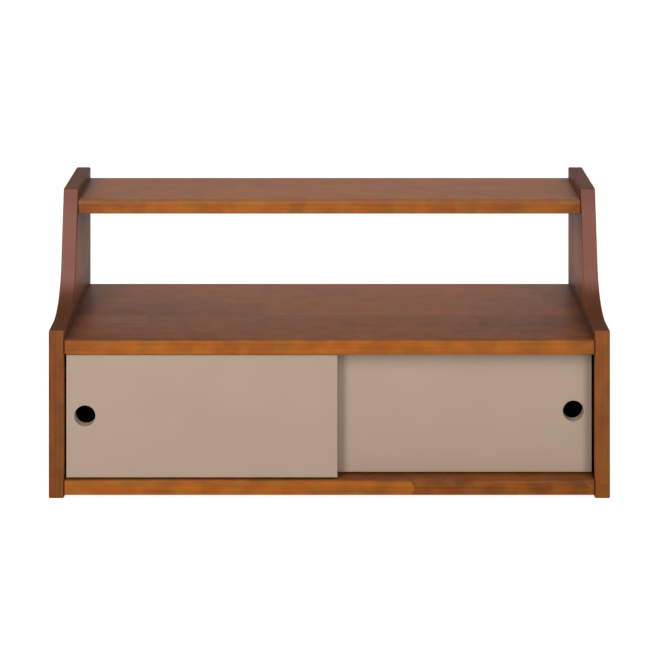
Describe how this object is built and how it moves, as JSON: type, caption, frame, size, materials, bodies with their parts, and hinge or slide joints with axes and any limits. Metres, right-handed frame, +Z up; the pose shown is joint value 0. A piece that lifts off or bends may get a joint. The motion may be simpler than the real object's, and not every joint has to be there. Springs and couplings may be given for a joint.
{
  "type": "wall cabinet with sliding doors",
  "caption": "Low wooden wall cabinet: open shelf bay between curved side panels above a closed compartment with bypassing sliding doors that have round finger holes.",
  "frame": {"origin": "middle of the footprint, on the plane of the underside", "axes": "+X to the right as seen from the front, +Y from the front towards the wall, +Z up"},
  "size_m": [0.752, 0.26, 0.3825],
  "materials": {
    "stained_wood": "edge-glued solid wood, red-brown stain under satin varnish",
    "back_board": "thin plywood, stained to match",
    "beech": "plain beech dowel",
    "door_lacquer": "fibreboard with satin taupe lacquer",
    "track_plastic": "brown extruded plastic",
    "nylon": "natural nylon",
    "zinc_steel": "zinc-plated steel",
    "cast_zinc": "die-cast zinc"
  },
  "bodies": {
    "case": {"left_side_panel": "stained_wood", "right_side_panel": "stained_wood", "top_shelf": "stained_wood", "middle_shelf": "stained_wood", "bottom_board": "stained_wood", "hanging_rail": "stained_wood", "back_panel": "back_board", "back_panel_screws": "zinc_steel", "top_shelf_dowels": "beech", "middle_shelf_dowels": "beech", "bottom_board_dowels": "beech", "hanging_rail_dowels": "beech", "top_shelf_cam_bolts": "zinc_steel", "middle_shelf_cam_bolts": "zinc_steel", "bottom_board_cam_bolts": "zinc_steel", "top_shelf_cams": "cast_zinc", "middle_shelf_cams": "cast_zinc", "bottom_board_cams": "cast_zinc", "front_track": "track_plastic", "rear_track": "track_plastic", "floor_guide": "nylon", "floor_guide_screw": "zinc_steel"},
    "left_sliding_door": {"left_door": "door_lacquer", "left_door_hangers": "nylon"},
    "right_sliding_door": {"right_door": "door_lacquer", "right_door_hangers": "nylon"}
  },
  "joints": [
    {"name": "left_door_slide", "type": "slide", "parent": "case", "child": "left_sliding_door", "axis": [1, 0, 0], "range_m": [-0.0069, 0.3487]},
    {"name": "right_door_slide", "type": "slide", "parent": "case", "child": "right_sliding_door", "axis": [1, 0, 0], "range_m": [-0.3503, 0.005]}
  ]
}
